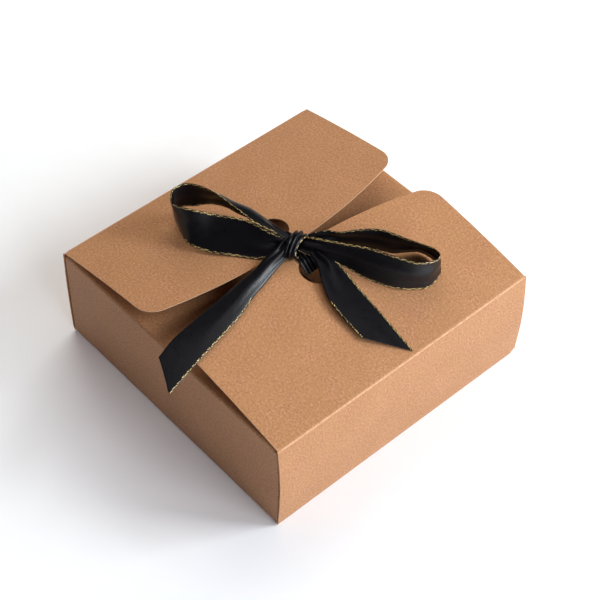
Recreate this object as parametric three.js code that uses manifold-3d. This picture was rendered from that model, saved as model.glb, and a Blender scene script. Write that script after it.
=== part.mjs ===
// Kraft gift box: one folded carton blank, closed by two lids that meet in the middle and are
// tied together through a round hole in each with a black ribbon bow.
// Millimetres, +Z up. The origin is the middle of the underside of the bottom panel.
// +X runs from the left wall to the right wall, and the front wall faces -Y.

import * as THREE from 'three';
import { mergeVertices } from 'three/addons/utils/BufferGeometryUtils.js';
import Module from 'manifold-3d';

const wasm = await Module();
wasm.setup();

// Carton
const BOX = 200;          // outside width and depth
const HALF = BOX / 2;
const BOARD = 0.5;        // board thickness
const GAP = 0.3;          // air left between panels that touch
const WALL_TOP = 70.5;    // top edge of the left and right walls
const FOLD_Z = 71;        // height of the lids' creases
const FLAP_Z = 70.15;     // height of the dust flaps' creases

// Lids: they spring up from their creases in a shallow arch
const LID_RISE = 0.225;   // slope of a lid at its crease
const LID_BEND = 0.0006;  // how fast that slope eases off
const LID_REACH = 98.1;   // from the box's side to the middle of the free edge
const LID_EDGE_R = 340;   // radius of the free edge
const LID_CORNER_R = 14;
const LID_SIDE = 99.3;    // half the lid's width
const LID_GAP = 0.75;     // from the box's side to where a lid starts
const HOLE_R = 11;
const HOLE_IN = 79.25;    // hole centre from the box's side

// Dust flaps
const FLAP_LONG = 99;     // from the crease to the free edge
const FLAP_HALF = 96.5;   // half width at the crease
const FLAP_TAPER = 0.51;  // width lost on each side per millimetre of depth
const FLAP_ROUND = 10;
const FLAP_PIVOT = 99.45; // the creases' distance from the middle

// Corner tabs
const TAB_LONG = 28;
const TAB_FOOT = 2;
const TAB_HEAD = 68;
const TAB_SLANT = 6;
const TAB_START = 98.9;   // from the middle to where a tab starts
const END_WALL = 196.8;   // width of the front and back walls

// Ribbon
const CLOTH = 0.8;        // thickness, with room for the folds
const STRAND = 10;        // width of the ribbon where it is bunched through a hole
const STRAND_CLEAR = 0.75; // from a lid's top face to the middle of the strand
const TAIL_WIDTH = 20;
const LOOP_TALL = 15;

// Where the stretches of the bow lie. Turns are degrees from +X, seen from above.
const KNOT = { at: [3, 0, 95.2], half: [7, 9.5, 5.9], turn: 30 };
const LEFT_LOOP = { at: [-6, -4.5, 89.3], long: 80, half: 14, turn: 198 };
const RIGHT_LOOP = { at: [11.5, 4.5, 90.6], long: 78, half: 12, turn: 35, tilt: 8.8 };
const LEFT_TAIL = { at: [0.5, -11], long: 108, slant: 12, turn: -76, top: 89, sag: 0.00012 };
const RIGHT_TAIL = { at: [13, 0.5], long: 60, slant: 22, turn: -4, clear: 2.2 };

const KRAFT = '#bb8860';
const KRAFT_LIGHT = '#d9a584';
const SATIN = '#16141a';

const group = new THREE.Group();

function add(parent, name, geometry, color, roughness, metalness = 0) {
  const mesh = new THREE.Mesh(geometry, new THREE.MeshStandardMaterial({ color, roughness, metalness }));
  mesh.name = name;
  parent.add(mesh);
  return mesh;
}

function toSolid(geometry) {
  const plain = geometry.clone();
  plain.deleteAttribute('normal');
  plain.deleteAttribute('uv');
  const merged = mergeVertices(plain, 1e-4);
  return new wasm.Manifold(new wasm.Mesh({
    numProp: 3,
    vertProperties: new Float32Array(merged.attributes.position.array),
    triVerts: new Uint32Array(merged.index.array),
  }));
}

function toGeometry(solid) {
  const mesh = solid.getMesh();
  const geometry = new THREE.BufferGeometry();
  geometry.setAttribute('position', new THREE.BufferAttribute(new Float32Array(mesh.vertProperties), 3));
  geometry.setIndex(new THREE.BufferAttribute(new Uint32Array(mesh.triVerts), 1));
  geometry.computeVertexNormals();
  return geometry;
}

// A flat shape in plan, extruded upwards from z0.
function prism(shape, z0, height, segments = 12) {
  const options = { depth: height, bevelEnabled: false, curveSegments: segments };
  return new THREE.ExtrudeGeometry(shape, options).translate(0, 0, z0);
}

// A sheet that follows the height line z = height(x) from x0 to x1, and is trimmed to a plan outline.
function sheet(outline, height, x0, x1, thick, steps, outlineSegments = 12) {
  const side = new THREE.Shape();
  for (let i = 0; i <= steps; i++) {
    const x = x0 + (x1 - x0) * i / steps;
    if (i === 0) side.moveTo(x, height(x) - thick / 2);
    else side.lineTo(x, height(x) - thick / 2);
  }
  for (let i = steps; i >= 0; i--) {
    const x = x0 + (x1 - x0) * i / steps;
    side.lineTo(x, height(x) + thick / 2);
  }
  side.closePath();
  const slab = new THREE.ExtrudeGeometry(side, { depth: BOX + 40, bevelEnabled: false });
  slab.rotateX(Math.PI / 2).translate(0, HALF + 20, 0);
  const cutter = prism(outline, 0, 150, outlineSegments);
  return toSolid(slab).intersect(toSolid(cutter));
}

// Height of a lid's middle layer at the distance u from the box's side.
function lidHeight(u) {
  return FOLD_Z + 0.2 + LID_RISE * u - LID_BEND * u * u;
}

// Plan outline of the left lid: straight sides, round corners and a bowed free edge.
function lidOutline() {
  const apex = -HALF + LID_REACH;
  const centre = apex - LID_EDGE_R;
  const inner = LID_EDGE_R - LID_CORNER_R;
  const cornerY = LID_SIDE - LID_CORNER_R;
  const cornerX = centre + Math.sqrt(inner * inner - cornerY * cornerY);
  const turn = Math.asin(cornerY / inner);
  const start = -HALF + LID_GAP;
  const shape = new THREE.Shape();
  shape.moveTo(start, -LID_SIDE);
  shape.lineTo(cornerX, -LID_SIDE);
  shape.absarc(cornerX, -cornerY, LID_CORNER_R, -Math.PI / 2, -turn, false);
  shape.absarc(centre, 0, LID_EDGE_R, -turn, turn, false);
  shape.absarc(cornerX, cornerY, LID_CORNER_R, turn, Math.PI / 2, false);
  shape.lineTo(start, LID_SIDE);
  shape.closePath();
  return shape;
}

function lidGeometry() {
  const plate = sheet(lidOutline(), x => lidHeight(x + HALF), -HALF + LID_GAP / 2, 0, BOARD, 24, 20);
  const drill = new THREE.CylinderGeometry(HOLE_R, HOLE_R, 60, 48);
  drill.rotateX(Math.PI / 2).translate(-HALF + HOLE_IN, 0, 85);
  return toGeometry(plate.subtract(toSolid(drill)));
}

function addLids() {
  add(group, 'left_lid', lidGeometry(), KRAFT, 0.85);
  add(group, 'right_lid', lidGeometry().rotateZ(Math.PI), KRAFT, 0.85);
}

// Dust flap: a trapezium with round corners, folded in level from the front or back wall.
function addDustFlap(name, turn) {
  const tip = FLAP_HALF - FLAP_LONG * FLAP_TAPER;
  const shoulder = FLAP_LONG - FLAP_ROUND;
  const shape = new THREE.Shape();
  shape.moveTo(-FLAP_HALF, BOARD);
  shape.lineTo(FLAP_HALF, BOARD);
  shape.lineTo(tip + FLAP_ROUND * FLAP_TAPER, shoulder);
  shape.quadraticCurveTo(tip, FLAP_LONG, tip - FLAP_ROUND, FLAP_LONG);
  shape.lineTo(-tip + FLAP_ROUND, FLAP_LONG);
  shape.quadraticCurveTo(-tip, FLAP_LONG, -tip - FLAP_ROUND * FLAP_TAPER, shoulder);
  shape.closePath();
  const mesh = add(group, name, prism(shape, -BOARD / 2, BOARD), KRAFT, 0.9);
  mesh.position.set(FLAP_PIVOT * Math.sin(turn), -FLAP_PIVOT * Math.cos(turn), FLAP_Z);
  mesh.rotation.z = turn;
}

function addBase() {
  const floor = BOX - 2 * (BOARD + GAP);
  const bottom = add(group, 'bottom_panel', new THREE.BoxGeometry(floor, floor, BOARD), KRAFT, 0.9);
  bottom.position.z = BOARD / 2;

  const wallFoot = BOARD + GAP;
  for (const [name, side, color] of [['left_wall', -1, KRAFT], ['right_wall', 1, KRAFT_LIGHT]]) {
    const wall = add(group, name, new THREE.BoxGeometry(BOARD, BOX, WALL_TOP), color, 0.85);
    wall.position.set(side * (HALF - BOARD / 2), 0, WALL_TOP / 2);
  }
  const endTop = FLAP_Z - BOARD / 2 - GAP;
  for (const [name, side] of [['front_wall', -1], ['back_wall', 1]]) {
    const wall = add(group, name, new THREE.BoxGeometry(END_WALL, BOARD, endTop - wallFoot), KRAFT, 0.85);
    wall.position.set(0, side * (HALF - GAP - BOARD / 2), (endTop + wallFoot) / 2);
  }
  for (const end of [-1, 1]) {
    for (const side of [-1, 1]) addTab(end, side);
  }
}

// Corner tab: turned in from the end of the front or back wall, flat against the side wall.
function addTab(end, side) {
  const shape = new THREE.Shape();
  shape.moveTo(0, TAB_FOOT);
  shape.lineTo(TAB_LONG, TAB_FOOT + TAB_SLANT);
  shape.lineTo(TAB_LONG, TAB_HEAD - TAB_SLANT);
  shape.lineTo(0, TAB_HEAD);
  shape.closePath();
  const geometry = prism(shape, -BOARD / 2, BOARD).rotateX(Math.PI / 2).rotateZ(-end * Math.PI / 2);
  const name = `${end < 0 ? 'front' : 'back'}_${side < 0 ? 'left' : 'right'}_tab`;
  const tab = add(group, name, geometry, KRAFT, 0.9);
  tab.position.set(side * (HALF - BOARD * 1.5 - GAP), end * TAB_START, 0);
}

// Bow loop: a leaf-shaped ring of ribbon that stands on its edge, pinched at the knot.
function loopGeometry(long, half, tall) {
  const leaf = (start, end, reach) => {
    const line = new THREE.Path();
    line.moveTo(start, 0);
    const out = start + 0.25 * long;
    const wide = end - 0.5 * long;
    const turn = end - 0.15 * long;
    line.bezierCurveTo(out, reach * 0.55, wide, reach * 1.25, turn, reach);
    line.bezierCurveTo(end, reach * 0.75, end, -reach * 0.75, turn, -reach);
    line.bezierCurveTo(wide, -reach * 1.25, out, -reach * 0.55, start, 0);
    return new THREE.Shape(line.getPoints(10).slice(0, -1));
  };
  const outer = toSolid(prism(leaf(0, long, half), 0, tall));
  const inner = toSolid(prism(leaf(14, long - 1.3, half - 1.6), -1, tall + 2));
  return toGeometry(outer.subtract(inner));
}

// Tail of the bow in its own frame: it starts at the origin and runs along +X to a slanted cut.
function tailOutline(long, width, slant) {
  const shape = new THREE.Shape();
  shape.moveTo(0, -width * 0.36);
  shape.quadraticCurveTo(18, -width * 0.5, 30, -width / 2);
  shape.lineTo(long, -width / 2);
  shape.lineTo(long + slant, width / 2);
  shape.lineTo(30, width / 2);
  shape.quadraticCurveTo(18, width * 0.5, 0, width * 0.36);
  shape.closePath();
  return shape;
}

// Ribbon strand: from under the knot over the lid to its hole, and down through it.
function strandGeometry() {
  const over = [-2.6, -6, -9, -11.2];
  const down = [[-13.2, 0.2], [-15.2, -1], [-17, -2.4], [-18.4, -3.8]];
  const rest = over.map(x => new THREE.Vector2(x, lidHeight(HALF + x) + BOARD / 2 + STRAND_CLEAR));
  const rim = lidHeight(HOLE_IN);
  const line = new THREE.SplineCurve(rest.concat(down.map(([x, dz]) => new THREE.Vector2(x, rim + dz))));
  const count = 22;
  const upper = [];
  const lower = [];
  for (let i = 0; i <= count; i++) {
    const p = line.getPoint(i / count);
    const t = line.getTangent(i / count);
    upper.push(new THREE.Vector2(p.x + t.y * CLOTH / 2, p.y - t.x * CLOTH / 2));
    lower.push(new THREE.Vector2(p.x - t.y * CLOTH / 2, p.y + t.x * CLOTH / 2));
  }
  const shape = new THREE.Shape(upper.concat(lower.reverse()));
  const geometry = new THREE.ExtrudeGeometry(shape, { depth: STRAND, bevelEnabled: false });
  return geometry.rotateX(Math.PI / 2).translate(0, STRAND / 2, 0);
}

function addBow() {
  const turnOf = part => THREE.MathUtils.degToRad(part.turn);
  const knot = add(group, 'bow_knot', new THREE.SphereGeometry(1, 24, 14).scale(...KNOT.half), SATIN, 0.35);
  knot.position.set(...KNOT.at);
  knot.rotation.z = turnOf(KNOT);

  const leftLoop = loopGeometry(LEFT_LOOP.long, LEFT_LOOP.half, LOOP_TALL);
  const left = add(group, 'left_bow_loop', leftLoop, SATIN, 0.35);
  left.position.set(...LEFT_LOOP.at);
  left.rotation.z = turnOf(LEFT_LOOP);

  const overRightLid = new THREE.Group();
  overRightLid.position.set(...RIGHT_LOOP.at);
  overRightLid.rotation.y = THREE.MathUtils.degToRad(RIGHT_LOOP.tilt);
  group.add(overRightLid);
  const rightLoop = loopGeometry(RIGHT_LOOP.long, RIGHT_LOOP.half, LOOP_TALL);
  const right = add(overRightLid, 'right_bow_loop', rightLoop, SATIN, 0.35);
  right.rotation.z = turnOf(RIGHT_LOOP);

  const leftHeight = x => LEFT_TAIL.top - LEFT_TAIL.sag * x * x;
  const onLid = HALF - RIGHT_TAIL.at[0];
  const rightHeight = x => lidHeight(onLid - x * Math.cos(turnOf(RIGHT_TAIL))) + RIGHT_TAIL.clear;
  const tails = [['left_ribbon_tail', LEFT_TAIL, leftHeight], ['right_ribbon_tail', RIGHT_TAIL, rightHeight]];
  for (const [name, tail, height] of tails) {
    const outline = tailOutline(tail.long, TAIL_WIDTH, tail.slant);
    const cloth = sheet(outline, height, -1, tail.long + tail.slant + 3, CLOTH, 12);
    const mesh = add(group, name, toGeometry(cloth), SATIN, 0.35);
    mesh.position.set(...tail.at, 0);
    mesh.rotation.z = turnOf(tail);
  }

  add(group, 'left_ribbon_strand', strandGeometry(), SATIN, 0.35);
  add(group, 'right_ribbon_strand', strandGeometry().rotateZ(Math.PI), SATIN, 0.35);
}

addBase();
addLids();
addDustFlap('front_dust_flap', 0);
addDustFlap('back_dust_flap', Math.PI);
addBow();

export default group;
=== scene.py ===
"""Kraft gift box with two lids that meet in the middle, tied through round holes with a black satin bow.

The carton's and the ribbon's lengths are millimetres in the row frame and become metres in build().
The camera, the lights and the floor are in metres.
"""
import math

import bpy
import numpy as np
from mathutils import Matrix, Vector
from mathutils.geometry import delaunay_2d_cdt


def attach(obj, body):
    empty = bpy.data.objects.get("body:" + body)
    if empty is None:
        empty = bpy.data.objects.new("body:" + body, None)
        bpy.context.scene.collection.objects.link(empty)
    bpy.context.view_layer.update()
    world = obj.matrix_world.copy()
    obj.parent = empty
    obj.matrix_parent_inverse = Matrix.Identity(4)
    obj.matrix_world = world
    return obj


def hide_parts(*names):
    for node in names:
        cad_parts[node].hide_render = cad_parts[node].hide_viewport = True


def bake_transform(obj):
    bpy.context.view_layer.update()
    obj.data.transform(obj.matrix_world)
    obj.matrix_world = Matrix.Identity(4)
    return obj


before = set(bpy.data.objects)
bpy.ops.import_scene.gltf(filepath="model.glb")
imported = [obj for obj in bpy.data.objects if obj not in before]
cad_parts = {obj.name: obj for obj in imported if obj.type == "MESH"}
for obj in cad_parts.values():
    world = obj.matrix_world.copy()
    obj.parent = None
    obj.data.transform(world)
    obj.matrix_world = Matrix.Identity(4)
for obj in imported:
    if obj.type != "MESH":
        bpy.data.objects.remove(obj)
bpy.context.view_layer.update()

MM = 0.001
UV_MM = 100           # millimetres of flat sheet to one unit of the UV map

# ---------------------------------------------------------------- driving sizes

HALF = 100.0          # half the box's outside width
BOARD = 0.5           # board thickness
INNER_SHIFT = (37.0, 11.0)      # the inner face shows another stretch of the board's pattern
WALL_X = 99.75        # middle layer of the left and right walls
WALL_Y = 99.45        # middle layer of the front and back walls
CREASE_R = 0.9        # radius of a lid's crease at its middle layer
FLAP_CREASE_R = 1.7   # the dust flaps' creases are softer
FOOT_R = 1.1          # radius of the creases round the bottom
FLAP_Z = 70.15        # middle layer of the dust flaps
WALL_TOP = 70.55      # where the left and right walls end and the lids' creases start
LID_Z = 71.2          # middle layer of a lid, carried on to the box's side

LID_RISE = 0.225      # slope of a lid at its crease
LID_BEND = 0.0006     # how fast that slope eases off
LID_REACH = 98.1      # from the box's side to the middle of the free edge
LID_EDGE_R = 340.0    # radius of the free edge
LID_CORNER_R = 14.0
LID_SIDE = 99.3       # half the lid's width
LEFT_TWIST = 0.9      # how far the left lid's free edge dips at its front corner and rises at the back
HOLE_R = 11.0
HOLE_IN = 79.25       # hole centre from the box's side

FLAP_LONG = 99.0      # dust flap from its crease to its free edge
FLAP_HALF = 96.5      # half width at the crease
FLAP_TAPER = 0.51     # width lost on each side per millimetre of depth
FLAP_ROUND = 10.0     # what a rounded corner takes off the free edge
FLAP_TIP_R = 7.5      # radius of that corner
FLAP_SIDE = 98.2      # half width of the crease itself
FLAP_SAG = 0.9        # how far the free edge hangs

RIGHT_SWELL = 1.9     # how far the right wall bulges at its raw edges
LEFT_SWELL = 0.9
SWELL_TOP = 70.5      # the height at which the bulge is back to nothing
LEAN_RUN = 30.0       # how much of the front and back walls' ends leans after that bulge

TAB_LONG = 28.0
TAB_BEND_R = 0.8
TAB_GAP = 0.3         # air between a tab and the wall outside it
TAB_X = HALF - BOARD * 1.5 - TAB_GAP
TAB_FOOT = 2.0
TAB_HEAD = 68.0
TAB_SLANT = 6.0
TAB_CORNER = 2.0      # the tab's cut-off corners
TAB_FOLLOWS = 0.3     # share of the side wall's bulge that the tabs follow, which leaves a slit

RIBBON = 22.0         # ribbon width
CLOTH = 0.3           # ribbon thickness
HEM = 0.7             # from the ribbon's edge to the middle of its gold thread
GATHER_RUN = 12.0     # how far from the knot the pleats die away
TIE_BEARING = 32.0    # degrees from +X to the bow's length, along which the knot's wrap is wide

FLOOR_HALF = 4.0      # metres
FLOOR_DROP = 0.0004   # metres from the box's underside down to the floor
FLOOR_GRAIN = 60.0    # scale of the floor's noise


# ---------------------------------------------------------------- camera, floor and light

AZIMUTH = math.radians(47.73)
ELEVATION = math.radians(48.854)
ROLL = math.radians(0.837)
TARGET = Vector((-0.0224, 0.026, 0.0))
DISTANCE = 1.0784
LENS = 98.73          # for a sensor 36 mm wide
LIT = Vector((0, 0, 0.04))      # where the lights look


def add_camera():
    """Looks at TARGET from AZIMUTH (from -Y towards +X) and ELEVATION, rolled by ROLL."""
    back = Vector((math.sin(AZIMUTH) * math.cos(ELEVATION),
                   -math.cos(AZIMUTH) * math.cos(ELEVATION), math.sin(ELEVATION)))
    right = Vector((0, 0, 1)).cross(back).normalized()
    up = back.cross(right)
    right, up = (right * math.cos(ROLL) + up * math.sin(ROLL),
                 up * math.cos(ROLL) - right * math.sin(ROLL))
    camera = bpy.data.objects.new("camera", bpy.data.cameras.new("camera"))
    camera.data.lens = LENS
    camera.data.sensor_width = 36
    camera.data.clip_start = 0.05
    camera.data.clip_end = 20
    turn = Matrix((right, up, back)).transposed().to_4x4()
    camera.matrix_world = Matrix.Translation(TARGET + back * DISTANCE) @ turn
    bpy.context.scene.collection.objects.link(camera)
    bpy.context.scene.camera = camera


def add_light(name, bearing, elevation, distance, size, power, colour, in_gloss=True):
    """A soft box that looks at the middle of the carton. The bearing is measured from +X towards +Y."""
    light = bpy.data.lights.new(name, "AREA")
    light.shape = "SQUARE"
    light.size = size
    light.energy = power
    light.color = colour
    lamp = bpy.data.objects.new(name, light)
    bearing, elevation = math.radians(bearing), math.radians(elevation)
    way = Vector((math.cos(bearing) * math.cos(elevation),
                  math.sin(bearing) * math.cos(elevation), math.sin(elevation)))
    lamp.location = LIT + way * distance
    lamp.rotation_euler = way.to_track_quat("Z", "Y").to_euler()
    lamp.visible_glossy = in_gloss
    bpy.context.scene.collection.objects.link(lamp)


def add_world():
    """A faint even light from all round."""
    world = bpy.data.worlds.new("studio")
    world.use_nodes = True
    background = world.node_tree.nodes["Background"]
    background.inputs["Color"].default_value = (0.9, 0.94, 1.0, 1)
    background.inputs["Strength"].default_value = 0.03
    bpy.context.scene.world = world
    bpy.context.scene.view_settings.view_transform = "Standard"


# ---------------------------------------------------------------- materials

class Nodes:
    """A material's node tree with short ways to add and link nodes."""

    def __init__(self, name):
        self.material = bpy.data.materials.new(name)
        self.material.use_nodes = True
        self.tree = self.material.node_tree
        self.shader = self.tree.nodes["Principled BSDF"]

    def add(self, kind, settings=None, **inputs):
        node = self.tree.nodes.new(kind)
        for key, value in (settings or {}).items():
            setattr(node, key, value)
        for key, value in inputs.items():
            self.put(node.inputs[key.replace("_", " ")], value)
        return node

    def put(self, socket, value):
        if isinstance(value, bpy.types.NodeSocket):
            self.tree.links.new(value, socket)
        else:
            socket.default_value = value

    def sheet_place(self, scale=(1, 1, 1), turn=0.0):
        """Place on the flat sheet in millimetres, from the UV map, turned and scaled."""
        where = self.add("ShaderNodeUVMap", {"uv_map": "sheet"})
        mapping = self.add("ShaderNodeMapping", Vector=where.outputs["UV"])
        mapping.inputs["Scale"].default_value = tuple(UV_MM * s for s in scale)
        mapping.inputs["Rotation"].default_value = (0, 0, math.radians(turn))
        return mapping.outputs["Vector"]

    def noise(self, place, scale, detail=2.0, rough=0.5):
        made = self.add("ShaderNodeTexNoise", Vector=place, Scale=scale, Detail=detail, Roughness=rough)
        return made.outputs["Fac"]

    def ramp(self, value, low, high, to_low=0.0, to_high=1.0):
        made = self.add("ShaderNodeMapRange", Value=value)
        for key, number in zip(("From Min", "From Max", "To Min", "To Max"), (low, high, to_low, to_high)):
            made.inputs[key].default_value = number
        return made.outputs["Result"]

    def mix(self, factor, a, b):
        made = self.add("ShaderNodeMix", {"data_type": "RGBA"})
        self.put(made.inputs["Factor"], factor)
        self.put(made.inputs["A"], a)
        self.put(made.inputs["B"], b)
        return made.outputs["Result"]

    def maths(self, operation, a, b):
        made = self.add("ShaderNodeMath", {"operation": operation})
        self.put(made.inputs[0], a)
        self.put(made.inputs[1], b)
        return made.outputs["Value"]

    def mask(self, name):
        return self.add("ShaderNodeAttribute", {"attribute_name": name}).outputs["Fac"]

    def bump(self, height, strength, distance):
        made = self.add("ShaderNodeBump", Height=height, Strength=strength, Distance=distance)
        self.put(self.shader.inputs["Normal"], made.outputs["Normal"])


def kraft_material(name, base, dark, pale, yellowed, rubbed_and_highlight):
    """Brown kraft board: cloudy pulp, short fibres each way, dark flecks, and creases paler from rubbing
    and from a painted highlight.
    """
    n = Nodes(name)
    cloud = n.noise(n.sheet_place(), 0.035, 3, 0.6)
    pulp = n.noise(n.sheet_place(), 0.7, 3, 0.65)
    grain = n.noise(n.sheet_place(), 1.9, 2, 0.6)
    along = n.noise(n.sheet_place((0.35, 3.2, 1), 7), 1.0, 2, 0.6)
    across = n.noise(n.sheet_place((3.0, 0.4, 1), -12), 1.0, 2, 0.6)
    slant = n.noise(n.sheet_place((0.45, 2.6, 1), 48), 1.0, 2, 0.6)
    fibre = n.maths("MULTIPLY", n.maths("ADD", n.maths("ADD", along, across), slant), 0.3333)
    tone = n.maths("ADD", n.ramp(pulp, 0.3, 0.7, -0.8, 0.8), n.ramp(grain, 0.3, 0.7, -0.75, 0.75))
    tone = n.maths("ADD", tone, n.ramp(fibre, 0.38, 0.62, -0.5, 0.5))
    tone = n.maths("ADD", tone, n.ramp(cloud, 0.3, 0.7, -0.15, 0.15))
    colour = n.mix(n.ramp(tone, -1.2, 0), dark, base)
    colour = n.mix(n.ramp(tone, 0, 1.2), colour, pale)
    patches = n.noise(n.sheet_place(turn=20), 0.06, 2, 0.55)
    colour = n.mix(n.ramp(patches, 0.35, 0.65, 0.0, 0.35), colour, yellowed)
    flecks = n.add("ShaderNodeTexVoronoi", Vector=n.sheet_place((1, 1.6, 1), 30), Scale=0.16)
    flecks = n.ramp(flecks.outputs["Distance"], 0.06, 0.1, 0.35, 0.0)
    colour = n.mix(flecks, colour, dark)
    # Creases are paler: rubbed board, and along the lids' creases a painted highlight.
    wear_and_highlight = n.maths("MULTIPLY", n.mask("wear_and_highlight"), n.ramp(pulp, 0.3, 0.7, 0.5, 1.0))
    colour = n.mix(wear_and_highlight, colour, rubbed_and_highlight)
    n.put(n.shader.inputs["Base Color"], colour)
    n.put(n.shader.inputs["Roughness"], n.ramp(tone, -1, 1, 0.74, 0.6))
    n.shader.inputs["Specular IOR Level"].default_value = 0.32
    n.shader.inputs["Sheen Weight"].default_value = 0.08
    n.bump(n.maths("ADD", fibre, n.maths("MULTIPLY", pulp, 0.5)), 0.35, 0.00012)
    return n.material


def cut_edge_material():
    """The board's raw cut edge: paler, with the layers of pulp as fine lines."""
    n = Nodes("kraft_cut_edge")
    layers = n.noise(n.sheet_place((0.6, 0.6, 1)), 2.2, 3, 0.7)
    colour = n.mix(n.ramp(layers, 0.3, 0.7), (0.42, 0.24, 0.14, 1), (0.7, 0.47, 0.3, 1))
    n.put(n.shader.inputs["Base Color"], colour)
    n.put(n.shader.inputs["Roughness"], n.ramp(layers, 0.3, 0.7, 0.8, 0.95))
    n.bump(layers, 0.4, 0.0001)
    return n.material


def satin_material():
    """Black satin: long floats across the ribbon give a soft streaky sheen, with fine ribs along it."""
    n = Nodes("black_satin")
    floats = n.noise(n.sheet_place((0.25, 5.0, 1)), 1.0, 2, 0.6)
    ribs = n.noise(n.sheet_place((4.5, 0.5, 1)), 1.0, 2, 0.6)
    cloud = n.noise(n.sheet_place(), 0.12, 2, 0.5)
    weave = n.maths("ADD", n.maths("MULTIPLY", floats, 0.65), n.maths("MULTIPLY", ribs, 0.35))
    colour = n.mix(n.ramp(weave, 0.35, 0.65), (0.0022, 0.0019, 0.0024, 1), (0.006, 0.0052, 0.0074, 1))
    n.put(n.shader.inputs["Base Color"], colour)
    rough = n.maths("ADD", n.ramp(weave, 0.35, 0.65, 0.27, 0.39), n.ramp(cloud, 0.35, 0.65, -0.03, 0.04))
    n.put(n.shader.inputs["Roughness"], rough)
    n.shader.inputs["Specular IOR Level"].default_value = 0.38
    n.shader.inputs["Anisotropic"].default_value = 0.55
    n.shader.inputs["Sheen Weight"].default_value = 0.015
    n.shader.inputs["Sheen Roughness"].default_value = 0.35
    n.shader.inputs["Sheen Tint"].default_value = (0.9, 0.85, 1.0, 1)
    tangent = n.add("ShaderNodeTangent", {"direction_type": "UV_MAP", "uv_map": "sheet"})
    n.put(n.shader.inputs["Tangent"], tangent.outputs["Tangent"])
    n.bump(weave, 0.45, 0.00012)
    return n.material


def thread_material():
    """Gold lurex: specks of bright gold that are painted glints, with painted shade as dull dark gold
    between them.
    """
    n = Nodes("gold_thread")
    stretch = n.noise(n.sheet_place((1, 0.05, 1)), 1.0, 1, 0.5)
    spots = n.noise(n.sheet_place(), 0.6, 1, 0.5)
    fine = n.noise(n.sheet_place((2, 2, 1)), 1.6, 1, 0.5)
    glint_noise = n.maths("ADD", n.maths("MULTIPLY", spots, 0.6), n.maths("MULTIPLY", fine, 0.2))
    glint_noise = n.maths("ADD", glint_noise, n.maths("MULTIPLY", stretch, 0.3))
    # Bright specks are painted glints; the near-black between them is painted shade.
    painted_glint = n.ramp(glint_noise, 0.535, 0.565)
    colour = n.mix(painted_glint, (0.05, 0.022, 0.007, 1), (1.0, 0.74, 0.27, 1))
    n.put(n.shader.inputs["Base Color"], colour)
    n.put(n.shader.inputs["Roughness"], n.ramp(painted_glint, 0, 1, 0.6, 0.32))
    n.put(n.shader.inputs["Metallic"], n.ramp(painted_glint, 0, 1, 0.5, 0.2))
    n.shader.inputs["Coat Weight"].default_value = 1.0
    n.shader.inputs["Coat Roughness"].default_value = 0.2
    n.bump(fine, 0.25, 0.0001)
    return n.material


def floor_material():
    """Matt white with the faintest grain."""
    n = Nodes("white_floor")
    where = n.add("ShaderNodeTexCoord").outputs["Object"]
    grain = n.add("ShaderNodeTexNoise", Vector=where, Scale=FLOOR_GRAIN, Detail=2.0).outputs["Fac"]
    colour = n.mix(n.ramp(grain, 0.3, 0.7), (0.95, 0.95, 0.955, 1), (0.965, 0.965, 0.97, 1))
    n.put(n.shader.inputs["Base Color"], colour)
    n.put(n.shader.inputs["Roughness"], n.ramp(grain, 0.3, 0.7, 0.55, 0.62))
    n.shader.inputs["Specular IOR Level"].default_value = 0.2
    return n.material


# ---------------------------------------------------------------- mesh helpers

def build(name, points, faces, sheet_uv, materials, face_slots=None, sharp=(), masks=None):
    """A mesh object from points in millimetres. sheet_uv gives each point's place on the flat sheet."""
    mesh = bpy.data.meshes.new(name)
    mesh.from_pydata([tuple(p) for p in np.asarray(points, float) * MM], [], faces)
    layer = mesh.uv_layers.new(name="sheet")
    corner = np.zeros(len(mesh.loops), np.int32)
    mesh.loops.foreach_get("vertex_index", corner)
    flat = np.asarray(sheet_uv, float)[corner] / UV_MM
    layer.data.foreach_set("uv", flat.astype(np.float32).ravel())
    for material in materials:
        mesh.materials.append(material)
    if face_slots is not None:
        mesh.polygons.foreach_set("material_index", np.asarray(face_slots, np.int32))
    for key, values in (masks or {}).items():
        attribute = mesh.attributes.new(key, "FLOAT", "POINT")
        attribute.data.foreach_set("value", np.asarray(values, np.float32))
    mesh.polygons.foreach_set("use_smooth", [True] * len(mesh.polygons))
    if len(sharp):
        pairs = {tuple(sorted(pair)) for pair in sharp}
        for edge in mesh.edges:
            if tuple(sorted(edge.vertices)) in pairs:
                edge.use_edge_sharp = True
    mesh.update()
    piece = bpy.data.objects.new(name, mesh)
    bpy.context.scene.collection.objects.link(piece)
    return piece


def inside(polygon, points):
    """Which points are inside a closed outline."""
    x, y = points[:, 0], points[:, 1]
    hit = np.zeros(len(points), bool)
    for (x0, y0), (x1, y1) in zip(polygon, np.roll(polygon, -1, axis=0)):
        crosses = (y0 > y) != (y1 > y)
        hit ^= crosses & (x < (x1 - x0) * (y - y0) / (y1 - y0 + 1e-12) + x0)
    return hit


def resample(outline, step):
    """The outline again, with extra points so that no side is longer than step."""
    made = []
    for a, b in zip(outline, np.roll(outline, -1, axis=0)):
        count = max(1, math.ceil(np.linalg.norm(b - a) / step))
        made += [a + (b - a) * i / count for i in range(count)]
    return np.array(made)


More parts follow.
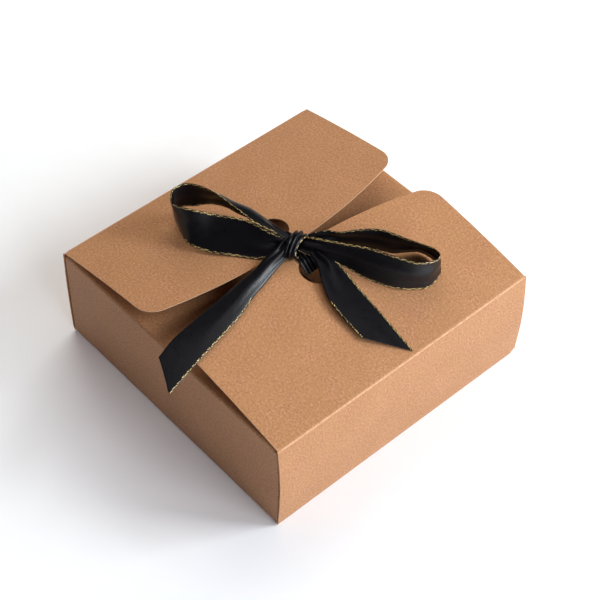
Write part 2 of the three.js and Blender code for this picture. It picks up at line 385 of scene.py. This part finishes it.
def panel(name, outline, place, holes=(), step=4.0, extra=(), wear_and_highlight=None):
    """A panel of board. outline is flat, place(points) gives the middle layer's points in the row frame.

    extra holds flat positions across a crease that need rows of points of their own. The last argument
    says
    how pale the board is along its creases: rubbing, and on the lids' creases a painted highlight."""
    loops = [resample(np.asarray(outline, float), step)] + [np.asarray(h, float) for h in holes]
    low, high = loops[0].min(0), loops[0].max(0)
    bend_rows = np.asarray(extra, float)
    xs = np.arange(low[0] + step / 2, high[0], step)
    xs = xs[xs > bend_rows.max(initial=-1e9) + 0.5]
    xs = np.concatenate([bend_rows, xs])
    ys = np.linspace(low[1], high[1], math.ceil((high[1] - low[1]) / step) + 1)
    grid = np.array([(x, y) for x in xs for y in ys])
    room = np.repeat([0.15 if x in bend_rows else 0.3 * step for x in xs], len(ys))
    keep = inside(loops[0], grid)
    for hole in loops[1:]:
        keep &= ~inside(hole, grid)
    rims = np.vstack(loops)
    gap = np.min(np.linalg.norm(grid[:, None] - rims[None], axis=2), axis=1)
    grid = grid[keep & (gap > room)]
    flat = np.vstack([rims, grid])
    edges, start = [], 0
    for loop in loops:
        count = len(loop)
        edges += [(start + i, start + (i + 1) % count) for i in range(count)]
        start += count
    points, _, triangles, *_ = delaunay_2d_cdt([Vector(p) for p in flat], edges, [], 0, 1e-4)
    flat = np.array([tuple(p) for p in points])
    middle = np.array([flat[list(t)].mean(0) for t in triangles])
    good = inside(loops[0], middle)
    for hole in loops[1:]:
        good &= ~inside(hole, middle)
    triangles = [tuple(t) for t, ok in zip(triangles, good) if ok]
    return solid_sheet(name, flat, triangles, place, wear_and_highlight)


def solid_sheet(name, flat, triangles, place, wear_and_highlight):
    """Gives a flat triangle mesh its shape in space and the board's thickness, with a rim all round."""
    used = sorted({i for t in triangles for i in t})
    renumber = {old: new for new, old in enumerate(used)}
    flat = flat[used]
    triangles = np.array([[renumber[i] for i in t] for t in triangles])
    middle = place(flat)
    step = 1e-3
    du = place(flat + (step, 0)) - place(flat - (step, 0))
    dv = place(flat + (0, step)) - place(flat - (0, step))
    normal = np.cross(du, dv)
    normal /= np.linalg.norm(normal, axis=1)[:, None]
    count = len(flat)
    points = np.vstack([middle + normal * BOARD / 2, middle - normal * BOARD / 2])
    a, b, c = (flat[triangles[:, k]] for k in range(3))
    area = (b[:, 0] - a[:, 0]) * (c[:, 1] - a[:, 1]) - (b[:, 1] - a[:, 1]) * (c[:, 0] - a[:, 0])
    triangles[area < 0] = triangles[area < 0][:, ::-1]
    once = {}
    for t in triangles:
        for i, j in ((t[0], t[1]), (t[1], t[2]), (t[2], t[0])):
            if (j, i) in once:
                del once[(j, i)]
            else:
                once[(i, j)] = True
    rim = [(i, i + count, j + count, j) for i, j in once]
    faces = [tuple(t) for t in triangles] + [tuple(t[::-1] + count) for t in triangles] + rim
    slots = [0] * (2 * len(triangles)) + [1] * len(rim)
    sharp = [(i, j) for i, j in once] + [(i + count, j + count) for i, j in once]
    uv = np.vstack([flat, flat + INNER_SHIFT])
    # Paleness along the creases, from rubbing and a painted highlight; half as much on the inner face.
    paled = np.zeros(count) if wear_and_highlight is None else wear_and_highlight(flat)
    masks = {"wear_and_highlight": np.concatenate([paled, 0.5 * paled])}
    return build(name, points, faces, uv, [kraft, cut_edge], slots, sharp, masks)


# ---------------------------------------------------------------- carton

def lid_height(u):
    """Height of a lid's middle layer at the distance u from the box's side."""
    return LID_Z + LID_RISE * u - LID_BEND * u * u


def arc(centre, radius, start, end, count):
    """Points of an arc, its angles in degrees, both ends included."""
    turn = np.radians(np.linspace(start, end, count))
    return np.column_stack([centre[0] + radius * np.cos(turn), centre[1] + radius * np.sin(turn)])


def crease_profile(start_z, wall_at, radius, slope):
    """A bend from a wall up to a panel folded over it, which goes on at the angle slope.

    Returns the bend's flat length and a function from flat distance (negative in the bend, and below
    it down the wall) to the distance from the middle of the box and the height."""
    turn = math.pi / 2 - slope
    long = radius * turn

    def line(s):
        angle = np.clip((s + long) / radius, 0, turn)
        inward = radius - radius * np.cos(angle)
        height = start_z + radius * np.sin(angle)
        below = np.minimum(s + long, 0)
        return wall_at - inward, height + below

    return long, line


def lid_place(side):
    """Where a lid's flat points go. s is the distance in from the end of the crease, t runs along it.

    Returns that function, the crease's flat length and how far from the box's side the crease ends."""
    slope = math.atan(LID_RISE)
    start_u = HALF - WALL_X + CREASE_R * (1 - math.sin(slope))
    start_z = lid_height(start_u) - CREASE_R * math.cos(slope)
    long, bend = crease_profile(start_z, WALL_X, CREASE_R, slope)
    twist = LEFT_TWIST if side < 0 else 0.0

    def place(flat):
        s, t = flat[:, 0], flat[:, 1]
        across, height = bend(s)
        u = start_u + s
        spring = (u / LID_REACH) ** 2 * (t / LID_SIDE)
        rise = lid_height(u) - twist * spring
        x = np.where(s < 0, across, HALF - u)
        z = np.where(s < 0, height, rise)
        return np.column_stack([side * x, side * t, z])

    return place, long, start_u


def add_lid(name, side):
    """A lid and its crease. t runs along +Y on the right lid and along -Y on the left one."""
    place, long, start_u = lid_place(side)
    apex = LID_REACH - start_u
    centre = apex - LID_EDGE_R
    inner = LID_EDGE_R - LID_CORNER_R
    corner_t = LID_SIDE - LID_CORNER_R
    corner_s = centre + math.sqrt(inner ** 2 - corner_t ** 2)
    turn = math.degrees(math.asin(corner_t / inner))
    outline = np.vstack([
        [(-long, -HALF), (-0.4, -HALF), (0.3, -LID_SIDE)],
        arc((corner_s, -corner_t), LID_CORNER_R, -90, -turn, 16),
        arc((centre, 0), LID_EDGE_R, -turn, turn, 60)[1:-1],
        arc((corner_s, corner_t), LID_CORNER_R, turn, 90, 16),
        [(0.3, LID_SIDE), (-0.4, HALF), (-long, HALF)],
    ])
    hole = arc((HOLE_IN - start_u, 0), HOLE_R, 0, 352.5, 48)
    rows = np.linspace(-long, 0, 7)[1:]

    # The pale line along the lid's crease is a painted highlight as well as rubbing.
    def wear_and_highlight(flat):
        s = flat[:, 0]
        return np.exp(-((s + long * 0.55) / 0.6) ** 2)

    piece = panel(name + "_board", outline, place, [hole], extra=tuple(rows), wear_and_highlight=wear_and_highlight)
    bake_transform(piece)
    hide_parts(name)


def add_dust_flap(name, node, side):
    """A dust flap and its soft crease. side is -1 at the front wall and 1 at the back wall."""
    start = FLAP_CREASE_R
    long, bend = crease_profile(FLAP_Z - FLAP_CREASE_R, WALL_Y, FLAP_CREASE_R, 0.0)

    def place(flat):
        s, t = flat[:, 0], flat[:, 1]
        across, height = bend(s)
        into = WALL_Y - start - s
        sag = FLAP_SAG * (np.clip(s, 0, None) / FLAP_LONG) ** 2
        y = np.where(s < 0, across, into)
        z = np.where(s < 0, height, FLAP_Z - sag)
        return np.column_stack([-side * t, side * y, z])

    tip = FLAP_HALF - FLAP_LONG * FLAP_TAPER
    end = FLAP_LONG - start
    outline = [(-long, -FLAP_SIDE), (-0.6, -FLAP_SIDE + 0.2), (0.8, -FLAP_HALF + 0.4)]
    outline += [(end - FLAP_ROUND, -tip - FLAP_ROUND * FLAP_TAPER)]
    outline += [tuple(p) for p in arc((end - FLAP_TIP_R, -tip + FLAP_TIP_R), FLAP_TIP_R, -62, 0, 8)]
    outline += [(s, -t) for s, t in reversed(outline)]

    def wear_and_highlight(flat):
        return 0.28 * np.exp(-((flat[:, 0] + long * 0.5) / 1.0) ** 2)

    rows = np.linspace(-long, 0, 8)[1:]
    piece = panel(name, outline, place, extra=tuple(rows), wear_and_highlight=wear_and_highlight)
    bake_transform(piece)
    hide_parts(node)


def wall_swell(z, along):
    """The share of a side wall's bulge at a height and at a distance from its middle."""
    share = np.clip(z / SWELL_TOP, 0, 1)
    return np.sin(math.pi * share ** 1.1) * (0.55 + 0.45 * (along / HALF) ** 2)


def add_wall(name, turn, at, half, top, bulge, ends=(0.0, 0.0)):
    """A wall that rises from a crease at the bottom. turn is the wall's bearing from +X, in degrees.

    ends is how far this wall's two ends lean out after the neighbouring walls' bulge."""
    c, s = math.cos(math.radians(turn)), math.sin(math.radians(turn))
    quarter = FOOT_R * math.pi / 2

    def place(flat):
        up, along = flat[:, 0], flat[:, 1]
        angle = np.clip((up + quarter) / FOOT_R, 0, math.pi / 2)
        z = BOARD / 2 + FOOT_R - FOOT_R * np.cos(angle) + np.clip(up, 0, None)
        out = at - FOOT_R + FOOT_R * np.sin(angle) + bulge * wall_swell(z, along)
        near_end = np.clip((np.abs(along) - half + LEAN_RUN) / LEAN_RUN, 0, 1) ** 2
        follow = np.where(along < 0, -ends[0], ends[1]) * near_end * wall_swell(z, HALF)
        along = along + follow
        return np.column_stack([c * out - s * along, s * out + c * along, z])

    high = top - BOARD / 2 - FOOT_R
    outline = [(-quarter, -half), (high, -half), (high, half), (-quarter, half)]
    rows = np.linspace(-quarter, 0, 6)[1:]

    def wear_and_highlight(flat):
        return 0.4 * np.exp(-((flat[:, 0] + quarter * 0.5) / 0.6) ** 2)

    piece = panel(name + "_board", outline, place, extra=tuple(rows), wear_and_highlight=wear_and_highlight)
    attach(piece, "base")
    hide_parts(name)


def add_bottom():
    """The flat bottom, between the creases round it."""
    x, y = WALL_X - FOOT_R, WALL_Y - FOOT_R

    def place(flat):
        return np.column_stack([flat, np.full(len(flat), BOARD / 2)])

    piece = panel("bottom_board", [(-x, -y), (x, -y), (x, y), (-x, y)], place, step=8.0)
    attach(piece, "base")
    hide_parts("bottom_panel")


def add_tab(end, side):
    """A corner tab, turned in from the front or back wall and flat against the side wall."""
    name = f"{'front' if end < 0 else 'back'}_{'left' if side < 0 else 'right'}_tab"
    bulge = TAB_FOLLOWS * (LEFT_SWELL if side < 0 else RIGHT_SWELL)
    long = TAB_BEND_R * math.pi / 2
    y_start = WALL_Y - TAB_BEND_R

    def place(flat):
        run, z = flat[:, 0], flat[:, 1]
        angle = np.clip((run + long) / TAB_BEND_R, 0, math.pi / 2)
        x = TAB_X - TAB_BEND_R + TAB_BEND_R * np.sin(angle)
        y = y_start + TAB_BEND_R * np.cos(angle) - np.clip(run, 0, None)
        x = x + bulge * wall_swell(z, y)
        return np.column_stack([side * x, end * y, z])

    low, high = TAB_FOOT + TAB_SLANT, TAB_HEAD - TAB_SLANT
    outline = [(-long, 1.2), (0.5, 1.2), (TAB_CORNER, TAB_FOOT), (TAB_LONG - TAB_CORNER, low),
               (TAB_LONG, low + TAB_CORNER), (TAB_LONG, high - TAB_CORNER),
               (TAB_LONG - TAB_CORNER, high), (TAB_CORNER, TAB_HEAD), (-long, TAB_HEAD)]
    rows = np.linspace(-long, 0, 5)[1:]
    piece = panel(name + "_board", outline, place, extra=tuple(rows))
    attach(piece, "base")
    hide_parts(name)


# ---------------------------------------------------------------- ribbon
# Each station of a stretch of ribbon is its near edge, its far edge, and how far the cloth bows between
# them. Where the edges are nearer than the ribbon's width, the rest of the cloth goes into pleats.

LEFT_LOOP = [
    ((0, -5, 90.5), (0, -3.5, 96), 0),
    ((-4.5, -20, 88), (-9, -9, 98.5), 1),
    ((-18.5, -31, 86.3), (-25.5, -15, 101), 1),
    ((-33.5, -41.3, 85.7), (-41, -26, 101.5), 1),
    ((-46, -45, 85.5), (-52, -36.5, 104.5), 0),
    ((-59, -41, 84), (-63.5, -42, 104.5), 0),
    ((-70, -36, 83.5), (-69.3, -38.3, 104.5), 0),
    ((-74, -31, 83.5), (-72.3, -34, 104.5), 0),
    ((-73, -26, 83.5), (-72.5, -30, 104.5), 0),
    ((-68.5, -20.5, 83.5), (-71, -25, 104.5), 0),
    ((-65.5, -15.5, 84), (-66, -21, 104.5), 0),
    ((-61.3, -11.5, 84.5), (-61, -18.5, 104.2), 0),
    ((-54.5, -8.5, 85.5), (-54.5, -16.7, 104), -2),
    ((-45, -7, 86.5), (-43, -15.5, 103), -4),
    ((-34, -5, 88), (-32, -14.5, 102.2), -5.5),
    ((-21, -3, 90), (-20.5, -13.5, 101), -5),
    ((-10, -2, 91.5), (-10.5, -9.5, 99.5), -3),
    ((-1, 0, 91.5), (-1, -4.5, 97), 0),
]

RIGHT_LOOP = [
    ((6, -2, 90), (5.4, 5.5, 97.6), 0),
    ((16, 4, 87.5), (14.2, 10.2, 98.9), 0.5),
    ((31, 13.5, 85), (30.5, 20, 100), 1),
    ((41, 16.5, 83.5), (39.5, 25, 101), 1),
    ((50.5, 21, 82), (47.5, 28.5, 101), 1),
    ((62, 29.2, 80.2), (60, 35.5, 100), 1),
    ((67.5, 36.3, 79.3), (65.5, 39, 99.5), 1),
    ((71.5, 43.5, 79), (69.5, 44.5, 99.5), 0.5),
    ((70.5, 52.5, 79.6), (71, 49.5, 99), 0),
    ((67.5, 58.5, 80), (69.8, 53.5, 99.3), 0),
    ((60, 60, 81), (65, 54, 100), 0),
    ((50, 57.5, 82.3), (57.5, 50.3, 101), 0),
    ((45, 50, 83.5), (49, 46, 101.8), -1),
    ((41.5, 43.5, 84.5), (41.5, 43.3, 102), -1.5),
    ((33, 37, 85.5), (32, 38.5, 101.8), -1.5),
    ((25, 30, 86.5), (23.8, 29.7, 101), -0.5),
    ((19, 22, 87.5), (17.5, 21, 99.8), 1),
    ((12, 14, 89), (11, 16.5, 99.3), 0),
    ((5, 4, 91), (4, 8, 96.5), 0),
]

LEFT_TAIL = [
    ((-3.5, -4, 96.5), (5, -5, 93), 1),
    ((-2, -13, 93.8), (6.8, -12, 91), 2),
    ((-1.9, -22.5, 91), (8.9, -22.7, 89.5), 2.5),
    ((-0.4, -31, 89.2), (12, -34, 88.4), 2.8),
    ((0.2, -42, 88.2), (15.1, -45, 88), 3),
    ((1.6, -52, 87.8), (19.3, -56, 87.2), 2.8),
    ((3.6, -66.5, 87.6), (23.7, -71.9, 86.6), 2.2),
    ((5.7, -83, 87.3), (27.1, -87, 86.1), 1.2),
    ((8.2, -99, 87), (30.5, -101.5, 85.6), 0.5),
    ((15.3, -120.5, 86), (37.2, -126, 85), 0),
]

RIGHT_TAIL = [
    ((13, 1, 91), (15, 8, 90.5), 0),
    ((21.5, -0.5, 89.2), (25.5, 11.5, 87.5), 0.5),
    ((31, -6, 88.2), (33, 11.5, 85.5), 0.5),
    ((46, -12, 85.8), (47.7, 10, 82.6), 0.5),
    ((56.5, -13.2, 83.9), (59.3, 9.3, 80.4), 0.5),
    ((68.5, -13.2, 81), (71.7, 8.6, 78), 0.3),
    ((82, -13.5, 78), (84.9, 7.6, 75.4), 0),
    ((95, -14, 74.5), (97.6, 6.7, 72.7), 0),
]


def hermite(values, knots, at):
    """A smooth curve through values given at the distances knots, read at the distances at."""
    slope = np.diff(values, axis=0) / np.diff(knots)[:, None]
    gap = np.diff(knots)[:, None]
    inner = (slope[:-1] * gap[1:] + slope[1:] * gap[:-1]) / (gap[:-1] + gap[1:])
    tangent = np.vstack([slope[:1], inner, slope[-1:]])
    i = np.clip(np.searchsorted(knots, at, side="right") - 1, 0, len(knots) - 2)
    span = gap[i]
    t = ((at - knots[i])[:, None]) / span
    return ((2 * t ** 3 - 3 * t ** 2 + 1) * values[i] + (t ** 3 - 2 * t ** 2 + t) * span * tangent[i]
            + (3 * t ** 2 - 2 * t ** 3) * values[i + 1] + (t ** 3 - t ** 2) * span * tangent[i + 1])


def ribbon_grid(stations, pleats, cut, rows, columns, knots_at, loose):
    """Points of the ribbon's middle layer, rows along it and columns across, and their flat places.

    cut is how much shorter the near edge is, from the slant cut. knots_at says at which ends the knot
    gathers it (0, 1 or both); loose is the share of the pleats that is left away from there."""
    edge_a = np.array([s[0] for s in stations], float)
    edge_b = np.array([s[1] for s in stations], float)
    bow = np.array([[s[2]] for s in stations], float)
    run = np.maximum(np.linalg.norm(np.diff((edge_a + edge_b) / 2, axis=0), axis=1),
                     0.5 * np.linalg.norm(np.diff(edge_a, axis=0), axis=1)
                     + 0.5 * np.linalg.norm(np.diff(edge_b, axis=0), axis=1))
    knots = np.concatenate([[0], np.cumsum(run)])
    grid = np.zeros((rows + 1, columns + 1, 3))
    uv = np.zeros((rows + 1, columns + 1, 2))
    for j in range(columns + 1):
        s = 2 * j / columns - 1
        trim = cut * (1 - s) / 2
        at = np.linspace(0, knots[-1] - trim, rows + 1)
        a, b, q = (hermite(v, knots, at) for v in (edge_a, edge_b, bow))
        ahead = hermite(edge_a + edge_b, knots, at + 0.05) - hermite(edge_a + edge_b, knots, at - 0.05)
        chord = b - a
        wide = np.linalg.norm(chord, axis=1)[:, None]
        normal = np.cross(ahead, chord)
        normal /= np.linalg.norm(normal, axis=1)[:, None]
        spare = np.clip(RIBBON / (wide * (1 + 8 / 3 * (q / wide) ** 2)) - 1, 0, None)
        ends = [np.abs(at - end * knots[-1]) for end in knots_at]
        fade = loose + (1 - loose) * np.exp(-(np.min(ends, axis=0) / GATHER_RUN) ** 2)
        fold = wide / (math.pi * pleats) * np.sqrt(spare) * fade[:, None]
        wave = math.sin(pleats * math.pi * s + 0.6) * (1 - s ** 4)
        grid[:, j] = a + chord * (s + 1) / 2 + normal * (q * (1 - s * s) + fold * wave)
        uv[:, j] = np.column_stack([np.full(rows + 1, (s + 1) / 2 * RIBBON), at])
    return grid, uv


def grid_normals(grid):
    """The direction square to the cloth at each point of a grid."""
    along = np.gradient(grid, axis=0)
    across = np.gradient(grid, axis=1)
    normal = np.cross(along, across)
    return normal / np.linalg.norm(normal, axis=2)[..., None]


def ribbon_piece(name, grid, uv):
    """The cloth itself: a thin closed sheet on a grid of points."""
    rows, columns = grid.shape[0] - 1, grid.shape[1] - 1
    normal = grid_normals(grid) * CLOTH / 2
    count = (rows + 1) * (columns + 1)
    number = np.arange(count).reshape(rows + 1, columns + 1)
    points = np.vstack([(grid + normal).reshape(-1, 3), (grid - normal).reshape(-1, 3)])
    front = [(number[i, j], number[i + 1, j], number[i + 1, j + 1], number[i, j + 1])
             for i in range(rows) for j in range(columns)]
    back = [tuple(k + count for k in reversed(face)) for face in front]
    border = [(i, 0) for i in range(rows)] + [(rows, j) for j in range(columns)]
    border += [(i, columns) for i in range(rows, 0, -1)] + [(0, j) for j in range(columns, 0, -1)]
    border = [number[i, j] for i, j in border]
    rim = [(b, a, a + count, b + count) for a, b in zip(border, border[1:] + border[:1])]
    faces = [tuple(int(k) for k in f) for f in front + back + rim]
    flat = uv.reshape(-1, 2)
    return build(name, points, faces, np.vstack([flat, flat + (0, 7.0)]), [satin])


def thread_piece(name, line, inward, normal):
    """A chain of small gold links: two flat plies that cross over each other along a line of points."""
    link, steps, sides = 2.4, 7, 8
    wide, deep, swing, cross = 0.29, 0.2, 0.42, 0.15
    length = np.concatenate([[0], np.cumsum(np.linalg.norm(np.diff(line, axis=0), axis=1))])
    at = np.arange(0, length[-1], link / steps)

    def sample(values):
        return np.column_stack([np.interp(at, length, values[:, k]) for k in range(3)])

    centre, inward, normal = sample(line), sample(inward), sample(normal)
    ring = np.arange(sides) * 2 * math.pi / sides
    points, faces, uv = [], [], []
    for k in range(2):
        phase = at / link * math.pi
        aside = swing * np.cos(phase) * (1 if k else -1)
        over = cross * np.sin(2 * phase) * (1 if k else -1)
        core = centre + aside[:, None] * inward + over[:, None] * normal
        base = k * len(at) * sides
        tube = [core + wide * math.cos(r) * inward + deep * math.sin(r) * normal for r in ring]
        points.append(np.stack(tube, axis=1).reshape(-1, 3))
        uv.append(np.column_stack([np.tile(ring, len(at)) + 9 * k, np.repeat(at, sides)]))
        for i in range(len(at) - 1):
            for j in range(sides):
                a, b = base + i * sides + j, base + i * sides + (j + 1) % sides
                faces.append((a, b, b + sides, a + sides))
        faces.append(tuple(base + j for j in reversed(range(sides))))
        last = base + (len(at) - 1) * sides
        faces.append(tuple(last + j for j in range(sides)))
    return build(name, np.vstack(points), faces, np.vstack(uv), [gold])


def unit(v):
    """Vectors along the last axis, at length one."""
    return v / np.linalg.norm(v, axis=-1)[..., None]


def add_ribbon(name, node, stations, pleats=2, cut=0.0, rows=150, columns=26,
               knots_at=(0,), loose=0.2, rolled=(0.0, 0.0), threads=True):
    """A stretch of ribbon with its two gold threads, on the bow.

    rolled is the share of each edge, from the knot on, that is turned under. Without threads, both
    edges lie inside the folds."""
    grid, uv = ribbon_grid(stations, pleats, cut, rows, columns, knots_at, loose)
    piece = ribbon_piece(name, grid, uv)
    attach(piece, "bow")
    normal = grid_normals(grid)
    facing = unit(np.cross(np.gradient(grid.mean(1), axis=0), grid[:, -1] - grid[:, 0]))
    share = np.linspace(0, 1, rows + 1)
    edges = ((0, 1, "near", rolled[0]), (-1, -2, "far", rolled[1])) if threads else ()
    for edge, next_in, word, hidden in edges:
        inward = unit(grid[:, next_in] - grid[:, edge])
        turned = np.clip((hidden - share) / 0.06, 0, 1)[:, None]
        line = grid[:, edge] + inward * (HEM + 0.5 * turned) - facing * 0.9 * turned
        thread = thread_piece(f"{name}_{word}_thread", line, inward, normal[:, edge])
        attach(thread, "bow")
    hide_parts(node)


def knot_stations():
    """The wrap goes once round the bow, gathered to about half the ribbon's width."""
    bearing = math.radians(TIE_BEARING)
    axis = np.array([math.cos(bearing), math.sin(bearing), 0])
    side = np.array([-math.sin(bearing), math.cos(bearing), 0])
    up = np.array([0, 0, 1.0])
    centre = np.array([3.2, -1.7, 92.7])
    count = 16
    made = []
    for k in range(count + 1):
        turn = 2 * math.pi * k / count - math.pi / 2
        spoke = 8.0 * math.cos(turn) * side + 5.0 * math.sin(turn) * up
        lean = 1.2 * math.cos(turn) * axis
        half = (4.2 + 0.5 * math.sin(2 * turn)) * axis
        made.append((tuple(centre + spoke + lean - half), tuple(centre + spoke + lean + half), 1.5))
    return made


def strand_stations(side):
    """From under the knot over a lid and down through its hole."""
    line = [(3, 88.9), (6.5, 88.4), (9.5, 88), (11.8, 87.2),
            (13.8, 85.6), (15.6, 84.2), (17.2, 82.8), (18.4, 81.5)]
    near, far = -5.9, 3.9
    return [((side * x, side * near, z), (side * x, side * far, z), 0.5) for x, z in line]


# ---------------------------------------------------------------- build

def add_lights():
    """The key from the back right, and soft fills round the box and above it."""
    add_light("key", 45, 35, 1.5, 0.6, 18.8, (0.89, 0.955, 1.0))
    add_light("right_fill", 0, 22, 2.0, 1.5, 36.5, (0.85, 0.92, 1.0))
    add_light("left_fill", 190, 50, 2.3, 2.2, 11, (1.0, 0.77, 0.74), in_gloss=False)
    add_light("back_fill", 135, 35, 2.3, 2.2, 45, (0.965, 0.995, 0.94), in_gloss=False)
    add_light("top_fill", 95, 76, 2.0, 1.1, 3.0, (1.0, 0.96, 0.98))


def add_carton():
    """The bottom, the four walls, the corner tabs, the lids and the dust flaps."""
    add_bottom()
    add_wall("left_wall", 180, WALL_X, HALF, WALL_TOP, LEFT_SWELL)
    add_wall("right_wall", 0, WALL_X, HALF, WALL_TOP, RIGHT_SWELL)
    fold_in = TAB_X - TAB_BEND_R
    flap_foot = FLAP_Z - FLAP_CREASE_R
    left_end, right_end = TAB_FOLLOWS * LEFT_SWELL, TAB_FOLLOWS * RIGHT_SWELL
    add_wall("front_wall", -90, WALL_Y, fold_in, flap_foot, 0.0, (left_end, right_end))
    add_wall("back_wall", 90, WALL_Y, fold_in, flap_foot, 0.0, (right_end, left_end))
    for end in (-1, 1):
        for side in (-1, 1):
            add_tab(end, side)
    add_lid("left_lid", -1)
    add_lid("right_lid", 1)
    add_dust_flap("front_dust_flap_board", "front_dust_flap", -1)
    add_dust_flap("back_dust_flap_board", "back_dust_flap", 1)


def add_bow():
    """The knot's wrap, the loops, the tails and the two strands that go down through the holes."""
    add_ribbon("bow_knot_wrap", "bow_knot", knot_stations(),
               pleats=3, rows=90, loose=1.0, rolled=(1.1, 0.0))
    add_ribbon("left_loop_ribbon", "left_bow_loop", LEFT_LOOP,
               rows=220, knots_at=(0, 1))
    add_ribbon("right_loop_ribbon", "right_bow_loop", RIGHT_LOOP,
               rows=220, knots_at=(0, 1))
    add_ribbon("left_tail_ribbon", "left_ribbon_tail", LEFT_TAIL,
               cut=7.5, rolled=(1.1, 0.36))
    add_ribbon("right_tail_ribbon", "right_ribbon_tail", RIGHT_TAIL,
               cut=21.0, rolled=(0.55, 0.0))
    for word, side in (("left", -1), ("right", 1)):
        add_ribbon(f"{word}_strand_ribbon", f"{word}_ribbon_strand", strand_stations(side),
                   pleats=4, rows=60, columns=40, loose=1.0, threads=False)


def add_floor():
    """A wide plain floor just under the box."""
    far = FLOOR_HALF
    corners = [(-far, -far), (far, -far), (far, far), (-far, far)]
    mesh = bpy.data.meshes.new("floor")
    mesh.from_pydata([(x, y, -FLOOR_DROP) for x, y in corners], [], [(0, 1, 2, 3)])
    mesh.materials.append(floor_material())
    ground = bpy.data.objects.new("floor", mesh)
    bpy.context.scene.collection.objects.link(ground)


add_camera()
add_world()
add_lights()

kraft = kraft_material("kraft_board", base=(0.407, 0.186, 0.083, 1), dark=(0.262, 0.108, 0.045, 1),
                       pale=(0.6, 0.304, 0.15, 1), yellowed=(0.398, 0.196, 0.07, 1),
                       rubbed_and_highlight=(0.88, 0.53, 0.32, 1))
cut_edge = cut_edge_material()
satin = satin_material()
gold = thread_material()

add_carton()
add_bow()
add_floor()
